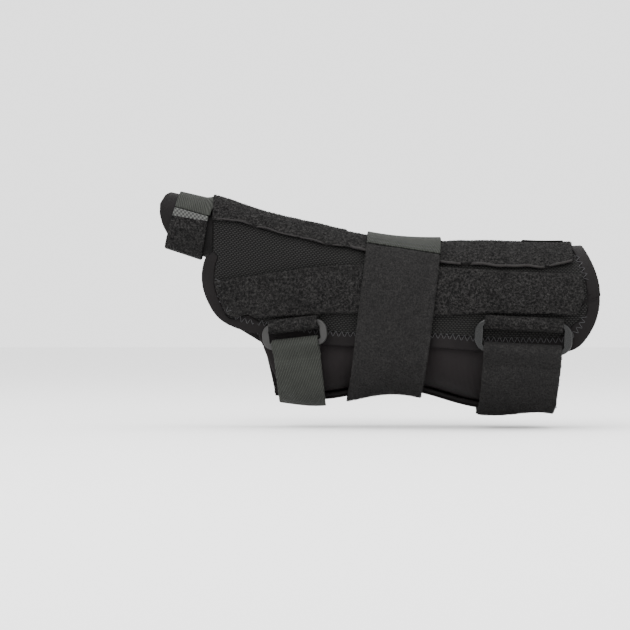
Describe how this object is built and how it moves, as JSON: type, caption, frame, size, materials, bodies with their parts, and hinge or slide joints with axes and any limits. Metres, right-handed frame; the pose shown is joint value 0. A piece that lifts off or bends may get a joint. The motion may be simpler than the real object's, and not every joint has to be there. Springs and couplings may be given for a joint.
{
  "type": "wrist splint",
  "caption": "Right-hand wrist and thumb splint: soft panels with pile faces, hook-tab straps, slotted rings, sliding stays and an open thumb sleeve.",
  "frame": {"origin": "centre of the forearm opening, on the splint's forearm end", "axes": "+X along the arm towards the elbow, with the fingers towards -X; +Z to the thumb side; -Y to the palm side"},
  "size_m": [0.2208, 0.0767, 0.1141],
  "materials": {
    "foam_laminate": "matt knitted face over foam",
    "mesh_fabric": "matt, short dash weave",
    "edge_binding": "smooth, faint sheen",
    "stretch_fabric": "smooth, soft folds",
    "pile": "brushed loop pile",
    "hook_tape": "woven twill back",
    "stay_metal": "brushed",
    "thumb_stay_plastic": "matt",
    "palm_ring_plastic": "satin",
    "forearm_ring_plastic": "smooth"
  },
  "bodies": {
    "shell": {"volar_panel": "foam_laminate", "dorsal_panel": "foam_laminate", "volar_mesh_cover": "mesh_fabric", "volar_edge_binding": "edge_binding", "dorsal_edge_binding": "edge_binding", "ulnar_gusset": "stretch_fabric", "thumb_sleeve": "foam_laminate", "thumb_tip_binding": "edge_binding", "volar_pile_pocket": "pile", "thumb_stay": "thumb_stay_plastic", "thumb_pile_pocket": "pile", "radial_pile_strip": "pile", "dorsal_pile_pocket": "pile", "wrist_strap": "pile", "thumb_strap": "pile", "palm_ring_tab": "pile", "palm_strap_lead": "pile", "forearm_ring_tab": "pile", "forearm_strap_lead": "pile"},
    "palm_ring": {"palm_ring": "palm_ring_plastic", "palm_strap_loop": "hook_tape"},
    "palm_tail": {"palm_strap_tail": "hook_tape"},
    "forearm_ring": {"forearm_ring": "forearm_ring_plastic", "forearm_strap_loop": "pile"},
    "forearm_tail": {"forearm_strap_tail": "pile", "forearm_hook_tab": "hook_tape"},
    "wrist_tab": {"wrist_hook_tab": "hook_tape"},
    "thumb_tab": {"thumb_hook_tab": "hook_tape"},
    "volar_stay": {"volar_stay": "stay_metal"},
    "dorsal_stay": {"dorsal_stay": "stay_metal"},
    "pocket_flap": {"pocket_flap": "edge_binding"}
  },
  "joints": [
    {"name": "palm_ring_swing", "type": "hinge", "parent": "shell", "child": "palm_ring", "pos_m": [-0.15219, -0.01568, 0.00017], "axis": [-0.9651, 0.236, -0.1132], "range_deg": [0, 35]},
    {"name": "palm_strap_peel", "type": "hinge", "parent": "palm_ring", "child": "palm_tail", "pos_m": [-0.1508, -0.01689, -0.01418], "axis": [-0.9651, 0.236, -0.1132], "range_deg": [0, 100]},
    {"name": "forearm_ring_swing", "type": "hinge", "parent": "shell", "child": "forearm_ring", "pos_m": [-0.03803, -0.03512, 0.00059], "axis": [-0.9939, 0.097, 0.0523], "range_deg": [0, 35]},
    {"name": "forearm_strap_peel", "type": "hinge", "parent": "forearm_ring", "child": "forearm_tail", "pos_m": [-0.03903, -0.03587, -0.01702], "axis": [-0.9939, 0.097, 0.0523], "range_deg": [0, 100]},
    {"name": "wrist_tab_peel", "type": "hinge", "parent": "shell", "child": "wrist_tab", "pos_m": [-0.0985, -0.018, 0.0386], "axis": [0.9737, -0.1673, -0.1548], "range_deg": [0, 120]},
    {"name": "thumb_tab_peel", "type": "hinge", "parent": "shell", "child": "thumb_tab", "pos_m": [-0.2033, 0.0022, 0.0574], "axis": [0.9166, -0.2991, -0.2653], "range_deg": [0, 110]},
    {"name": "volar_stay_slide", "type": "hinge", "parent": "shell", "child": "volar_stay", "pos_m": [0.04, 0.768, 0], "axis": [0, 0, 1], "range_deg": [0, 8]},
    {"name": "dorsal_stay_slide", "type": "slide", "parent": "shell", "child": "dorsal_stay", "axis": [0.9993, 0.0386, 0], "range_m": [0, 0.075]},
    {"name": "pocket_flap_lift", "type": "hinge", "parent": "shell", "child": "pocket_flap", "pos_m": [-0.0365, 0.0334, 0.02], "axis": [0, 0, 1], "range_deg": [0, 100]}
  ]
}
